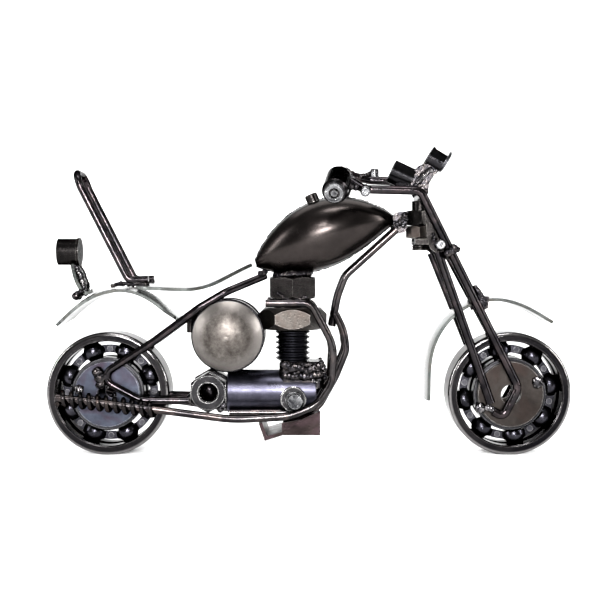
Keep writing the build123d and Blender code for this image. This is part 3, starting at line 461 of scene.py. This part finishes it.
def tank_half(name, side, node):
    bm = bmesh.new()
    n, k = 90, 48
    rows = []
    for i in range(n + 1):
        t = 0.0125 + (0.9915 - 0.0125) * (0.5 - 0.5 * math.cos(math.pi * i / n))
        row = []
        for j in range(k + 1):
            a = math.pi * j / k
            p = tank_ring(t, a)
            # near the seam the vertices are blended toward the centre plane with weight 0.0, so no lip step is made
            edge = min(a, math.pi - a)
            y = p.y * side
            co = Vector((p.x, y, p.z))
            if edge < 0.16:
                co = co.lerp(Vector((p.x, 0, p.z)), 0.0)
            row.append(bm.verts.new(co * MM))
        rows.append(row)
    for i in range(n):
        for j in range(k):
            f = [rows[i][j], rows[i + 1][j], rows[i + 1][j + 1], rows[i][j + 1]]
            if side > 0:
                f.reverse()
            bm.faces.new(f)
    # ends and the flat back, so the half is closed
    for row, flip in ((rows[0], side > 0), (rows[-1], side < 0)):
        f = list(row)
        if flip:
            f.reverse()
        bm.faces.new(f)
    back = [r[0] for r in rows] + [r[-1] for r in reversed(rows)]
    for i in range(n):
        f = [rows[i][0], rows[i + 1][0], rows[i + 1][-1], rows[i][-1]]
        if side < 0:
            f.reverse()
        bm.faces.new(f)
    bmesh.ops.recalc_face_normals(bm, faces=bm.faces)
    ob = new_piece(name, bm, M["tank"], "frame")
    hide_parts(node)
    m = ob.modifiers.new("edges", "EDGE_SPLIT")
    m.split_angle = math.radians(50)
    return ob


tank_r = tank_half("tank_shell_right", -1, "tank_right")
tank_l = tank_half("tank_shell_left", 1, "tank_left")

seam = bmesh.new()
rnd = random.Random(5)
for i in range(150):
    u = i / 149
    for a in (0.0, math.pi):
        t = 0.02 + 0.96 * u
        p = tank_ring(t, a, 0.12)
        if rnd.random() < 0.93:
            rr = 0.34 * rnd.uniform(0.8, 1.15)
            lump(seam, p * MM, (rr * MM, rr * 1.3 * MM, rr * 0.8 * MM), 4000 + i * 2 + int(a > 1), 0.25)
new_piece("tank_weld_seam", seam, M["scale"], "frame")

# --- welds ------------------------------------------------------------------
def pair(name, points, r, body, seed, left=True, mat="scale", **kw):
    """The same short run on the right and, with other drops, on the left."""
    weld_run(name + "_right", points, r, body, seed=seed, mat=mat, **kw)
    if left:
        weld_run(name + "_left", [(x, -y, z) for x, y, z in points], r, body, seed=seed + 500, mat=mat, **kw)


# tacks that hold the hub discs and the bent ends of the rods
pair("weld_front_hub_upper", [(64.5, -7.0, 20.9)], 1.60, "steering", 11, mat="weld", flat=(1, 0.75, 1))
pair("weld_front_hub_lower", [(48.7, -7.0, 13.9)], 1.45, "steering", 12, mat="weld", flat=(1, 0.75, 1))
weld_run("weld_fork_foot_right", [(50.6, -7.9, 13.9), (52.0, -8.0, 13.2), (53.2, -7.6, 12.2)], 0.95, "steering", seed=14, mat="weld")
weld_run("weld_fork_foot_left", [(52.9, 7.9, 13.9), (53.8, 8.0, 13.2), (55.2, 7.6, 12.1)], 0.95, "steering", seed=15)
pair("weld_rear_hub_tack", [(-64.8, -7.0, 18.9)], 1.45, "frame", 44, mat="weld", flat=(1, 0.75, 1))
pair("weld_rear_hub_bend", [(-59.3, -7.6, 23.9), (-58.4, -7.9, 22.4), (-58.2, -7.9, 20.6)], 1.75, "frame", 16, step=0.55)
pair("weld_rear_hub_low", [(-61.4, -7.0, 16.4), (-58.2, -7.0, 15.7), (-55.4, -7.1, 15.2)], 0.95, "frame", 45)
# steering head
pair("weld_head", [(24.2, -2.6, 64.0), (25.2, -3.2, 65.6), (26.8, -3.3, 66.4), (27.4, -3.2, 68.2)], 0.90, "frame", 18)
weld_run("weld_head_bright", [(26.6, -4.0, 65.2), (27.4, -4.2, 66.2), (27.7, -3.9, 67.0)], 0.62, "frame", seed=46, mat="weld")
# seat, sissy bar and tail
pair("weld_sissy", [(-50.9, -6.2, 48.7), (-47.6, -6.9, 48.7), (-45.6, -5.8, 49.0)], 0.75, "frame", 20)
weld_run("weld_tail_bracket", [(-66.6, -2.6, 45.3), (-65.0, -3.0, 46.2), (-64.2, 0, 46.3), (-65.0, 3.0, 46.2),
                               (-66.6, 2.6, 45.3)], 1.05, "frame", seed=22)
weld_run("weld_tail_riser", [(-66.4, -1.7, 53.3), (-65.5, -1.9, 51.9), (-64.9, -2.1, 50.4), (-64.4, -2.2, 48.6), (-64.3, -2.3, 46.9)], 0.95,
         "frame", seed=61, mat="weld")
weld_run("weld_tail_riser_left", [(-66.4, 1.7, 53.3), (-65.5, 1.9, 51.9), (-64.9, 2.1, 50.4), (-64.4, 2.2, 48.6), (-64.3, 2.3, 46.9)], 0.95,
         "frame", seed=62)
pair("weld_sissy_heel", [(-55.4, -6.2, 48.1), (-54.2, -6.4, 48.5), (-52.9, -6.3, 48.8)], 0.62, "frame", 63)
weld_run("weld_tail_light", [(-66.9, -2.2, 53.9), (-66.9, 2.2, 53.9)], 0.7, "frame", seed=23, mat="weld")
# fork crown: the lumpy block round the rods below the pin
pair("weld_crown", [(38.6, -8.9, 57.4), (39.6, -9.2, 58.0), (40.6, -8.9, 58.6), (41.4, -8.3, 58.2)], 1.15, "steering", 24)
pair("weld_crown_inner", [(35.0, -6.3, 62.6), (35.4, -6.4, 60.6), (36.4, -6.5, 58.0)], 0.85, "steering", 47)
pair("weld_upper_crown", [(31.6, -6.9, 72.6), (32.6, -6.9, 74.5)], 0.8, "steering", 26)
# lamps
pair("weld_lamp_clump", [(30.2, -1.9, 76.2), (31.4, -2.3, 78.0), (32.8, -2.2, 80.0), (34.4, -1.9, 81.2)], 0.95, "steering", 28)
weld_run("weld_lamp_bright", [(30.8, -2.9, 77.4), (32.6, -3.0, 79.0), (34.4, -2.6, 80.8), (35.9, -1.9, 81.0)], 0.55, "steering", seed=48, mat="weld")
weld_run("weld_gauge", [(26.0, -2.2, 77.2), (27.6, -2.4, 76.6), (29.0, -2.4, 76.2)], 0.8, "steering", seed=49)
# handlebar: bead chains where the grips meet the bars, fairings at the stubs
weld_run("weld_grip_right", [(8.9, -12.2, 80.8), (10.0, -11.6, 79.9), (11.2, -11.0, 78.9), (12.0, -10.4, 78.0)], 0.68, "steering", seed=30, mat="weld")
weld_run("weld_grip_right_root", [(9.4, -12.2, 76.6), (11.0, -11.2, 76.2), (12.8, -10.2, 75.6)], 0.95, "steering", seed=50)
weld_run("weld_grip_left", [(11.4, 12.0, 82.4), (12.4, 11.4, 81.6), (13.6, 10.8, 80.8)], 0.70, "steering", seed=31)
weld_run("weld_stub_right", [(14.2, -8.6, 75.8), (15.4, -9.3, 75.9), (16.9, -8.9, 75.6)], 0.70, "steering", seed=51)
weld_run("weld_stub_left", [(15.4, 8.1, 80.0), (16.8, 8.1, 80.4), (18.2, 8.1, 80.9)], 0.80, "steering", seed=52)
# engine
weld_run("weld_case_front_right", [(2.1, -4.6, 13.9), (3.4, -4.6, 15.4)], 0.8, "frame", seed=32)
pair("weld_side_nut", [(-23.9, -7.2, 15.9), (-24.1, -8.4, 14.5), (-24.9, -8.8, 13.4)], 0.95, "frame", 33, mat="weld")
pair("weld_rail_nut", [(-33.6, -6.5, 16.9), (-33.5, -7.6, 15.4)], 0.75, "frame", 35)
pair("weld_rail_tank", [(-12.6, -3.2, 52.0), (-13.8, -4.4, 51.6)], 0.8, "frame", 37)
pair("weld_drum_rail", [(-29.6, -6.9, 41.9), (-28.4, -7.0, 42.9)], 0.7, "frame", 41)
pair("weld_rocker", [(-8.6, -5.2, 46.0), (-6.4, -6.1, 44.4), (-2.8, -6.2, 44.3), (-0.8, -5.4, 45.0)], 0.55, "frame", 53)
pair("weld_base", [(3.4, -4.8, 26.4), (4.4, -4.6, 24.2), (4.6, -4.5, 22.0)], 0.75, "frame", 54)
pair("weld_base_face", [(-6.6, -5.3, 25.7), (-4.8, -5.6, 24.6), (-2.6, -5.7, 25.3), (-0.6, -5.7, 23.8), (1.4, -5.6, 24.9),
                        (3.0, -5.2, 25.5)], 1.3, "frame", 64, flat=(1, 0.6, 1))
pair("weld_base_foot", [(-6.4, -5.2, 22.8), (-4.6, -5.6, 22.3), (-2.4, -5.7, 22.6), (-0.2, -5.8, 22.2), (1.8, -5.7, 22.7),
                        (3.4, -5.2, 23.2)], 1.15, "frame", 66, flat=(1, 0.6, 1))
pair("weld_base_spatter", [(1.2, -6.4, 21.6), (2.2, -6.3, 20.9), (3.0, -6.0, 21.7)], 0.5, "frame", 68, mat="weld", step=1.1)
# weld that joins the two side nuts behind their holes, and the saddle under the tank
weld_run("weld_between_side_nuts", [(-28.3, -2.4, 18.2), (-28.3, 0.0, 18.4), (-28.3, 2.4, 18.2)], 2.9, "frame", seed=60, step=0.5)
weld_run("weld_tank_saddle", [(-4.6 + 5.0 * math.cos(a), 5.0 * math.sin(a), 51.4 + 0.35 * math.cos(a))
                              for a in [math.tau * k / 14 for k in range(15)]], 1.0, "frame", seed=61)
# front fender
pair("weld_fender_web", [(46.8, -7.2, 47.8), (48.4, -6.9, 45.6), (49.6, -6.9, 43.6)], 0.85, "steering", 39)
weld_run("weld_fender_screw", [(-35.6, -1.4, 38.2), (-34.0, -2.1, 38.5), (-32.6, -1.3, 38.4)], 0.55, "frame", seed=43)

# ---------------------------------------------------------------------------
# studio: pale floor, plain soft light
# ---------------------------------------------------------------------------
floor_bm = bmesh.new()
S, R = 3.0, 0.5
prof = [(-1.2, 0.0), (1.6, 0.0)]
for i in range(1, 13):
    a = math.pi / 2 * i / 12
    prof.append((1.6 + R * math.sin(a), R - R * math.cos(a)))
prof.append((1.6 + R, 2.2))
cols = []
for y, z in prof:
    cols.append([floor_bm.verts.new((x, y, z)) for x in (-S, S)])
for a, b in zip(cols, cols[1:]):
    floor_bm.faces.new((a[0], a[1], b[1], b[0]))
me = bpy.data.meshes.new("floor")
floor_bm.normal_update()
floor_bm.to_mesh(me)
floor_bm.free()
for p in me.polygons:
    p.use_smooth = True
floor = bpy.data.objects.new("floor", me)
bpy.context.scene.collection.objects.link(floor)
fm = bpy.data.materials.new("floor")
fm.use_nodes = True
fb = fm.node_tree.nodes["Principled BSDF"]
fb.inputs["Base Color"].default_value = (0.93, 0.93, 0.93, 1)
fb.inputs["Roughness"].default_value = 0.9
fb.inputs["Specular IOR Level"].default_value = 0.1
floor.data.materials.append(fm)
floor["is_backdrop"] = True

world = bpy.data.worlds.new("world")
bpy.context.scene.world = world
world.use_nodes = True
wn = world.node_tree
bg = wn.nodes["Background"]
bg.inputs["Strength"].default_value = 1.0
wtc = wn.nodes.new("ShaderNodeTexCoord")
wsep = wn.nodes.new("ShaderNodeSeparateXYZ")
wn.links.new(wtc.outputs["Generated"], wsep.inputs["Vector"])
wr = wn.nodes.new("ShaderNodeValToRGB")
wr.color_ramp.elements[0].position = 0.0
wr.color_ramp.elements[0].color = (0.16, 0.16, 0.16, 1)
wr.color_ramp.elements[1].position = 1.0
wr.color_ramp.elements[1].color = (0.75, 0.75, 0.75, 1)
mid = wr.color_ramp.elements.new(0.35)
mid.color = (0.24, 0.24, 0.24, 1)
wn.links.new(wsep.outputs["Z"], wr.inputs["Fac"])
wn.links.new(wr.outputs["Color"], bg.inputs["Color"])


def area(name, loc, target, size, power, size_y=None):
    d = bpy.data.lights.new(name, "AREA")
    d.energy = power
    d.size = size
    if size_y:
        d.shape = "RECTANGLE"
        d.size_y = size_y
    o = bpy.data.objects.new(name, d)
    bpy.context.scene.collection.objects.link(o)
    o.location = loc
    o.rotation_euler = (Vector(target) - Vector(loc)).to_track_quat("-Z", "Y").to_euler()
    return o


area("key", (-0.03, -0.64, 0.165), (0, 0, 0.045), 0.17, 9.0, 0.055)
area("high", (-0.06, -0.60, 0.36), (0, 0, 0.03), 0.10, 3.0, 0.05)
area("top", (0.02, -0.25, 0.85), (0, 0, 0.03), 0.35, 5.0, 0.12)
area("strip_front", (0.75, -0.30, 0.30), (0, 0, 0.04), 0.08, 6.0, 0.45)
area("strip_rear", (-0.75, -0.30, 0.30), (0, 0, 0.04), 0.08, 5.0, 0.45)
area("floor_wash", (0.0, 1.0, 1.7), (0, 1.1, 0.0), 2.4, 48, 1.2)
area("wall_wash", (0.0, 0.9, 1.2), (0, 2.1, 0.7), 2.4, 30, 0.6)

{"cad": plain(CAD_BOX), "visual": plain(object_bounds())}
